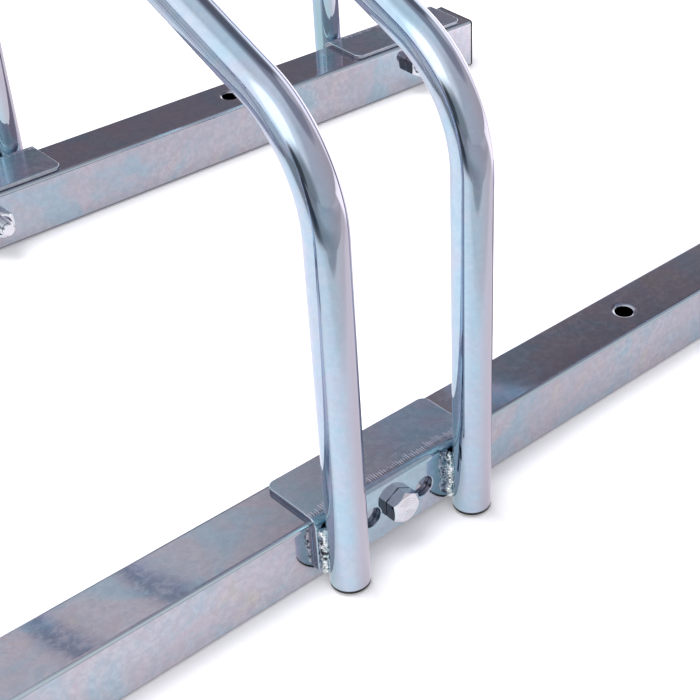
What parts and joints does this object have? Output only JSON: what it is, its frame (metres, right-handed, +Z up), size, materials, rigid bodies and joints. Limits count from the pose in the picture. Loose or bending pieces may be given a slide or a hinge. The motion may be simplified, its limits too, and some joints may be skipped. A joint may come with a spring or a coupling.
{
  "type": "floor bike rack",
  "caption": "Low floor rack for parking bicycles: two square steel rails joined by pairs of bent tube hoops, each pair holding one front wheel.",
  "frame": {"origin": "on the floor, in the middle of the rack's length and depth", "axes": "+X along the rails, +Y from the low front of the hoops to their high rear, +Z up"},
  "size_m": [0.95, 0.365, 0.3148],
  "materials": {
    "rail_zinc": "bright zinc plated, smooth and glossy, faintly iridescent",
    "tube_zinc": "bright blue zinc plated, glossy",
    "bracket_zinc": "bright zinc plated sheet, glossy, fine scratches",
    "weld_metal": "rough plated weld bead",
    "fastener_zinc": "bright zinc plated",
    "black_plastic": "moulded black plastic, satin"
  },
  "bodies": {
    "root": {"front_rail": "rail_zinc", "rear_rail": "rail_zinc", "front_rail_cap_left": "black_plastic", "front_rail_cap_right": "black_plastic", "rear_rail_cap_left": "black_plastic", "rear_rail_cap_right": "black_plastic", "left_hoop_1": "tube_zinc", "right_hoop_1": "tube_zinc", "front_bracket_1": "bracket_zinc", "rear_bracket_1": "bracket_zinc", "front_welds_1": "weld_metal", "rear_welds_1": "weld_metal", "hoop_plugs_1": "black_plastic", "front_bolt_1": "fastener_zinc", "rear_bolt_1": "fastener_zinc", "front_nut_1": "fastener_zinc", "rear_nut_1": "fastener_zinc", "left_hoop_2": "tube_zinc", "right_hoop_2": "tube_zinc", "front_bracket_2": "bracket_zinc", "rear_bracket_2": "bracket_zinc", "front_welds_2": "weld_metal", "rear_welds_2": "weld_metal", "hoop_plugs_2": "black_plastic", "front_bolt_2": "fastener_zinc", "rear_bolt_2": "fastener_zinc", "front_nut_2": "fastener_zinc", "rear_nut_2": "fastener_zinc", "left_hoop_3": "tube_zinc", "right_hoop_3": "tube_zinc", "front_bracket_3": "bracket_zinc", "rear_bracket_3": "bracket_zinc", "front_welds_3": "weld_metal", "rear_welds_3": "weld_metal", "hoop_plugs_3": "black_plastic", "front_bolt_3": "fastener_zinc", "rear_bolt_3": "fastener_zinc", "front_nut_3": "fastener_zinc", "rear_nut_3": "fastener_zinc", "left_hoop_4": "tube_zinc", "right_hoop_4": "tube_zinc", "front_bracket_4": "bracket_zinc", "rear_bracket_4": "bracket_zinc", "front_welds_4": "weld_metal", "rear_welds_4": "weld_metal", "hoop_plugs_4": "black_plastic", "front_bolt_4": "fastener_zinc", "rear_bolt_4": "fastener_zinc", "front_nut_4": "fastener_zinc", "rear_nut_4": "fastener_zinc"}
  },
  "joints": []
}
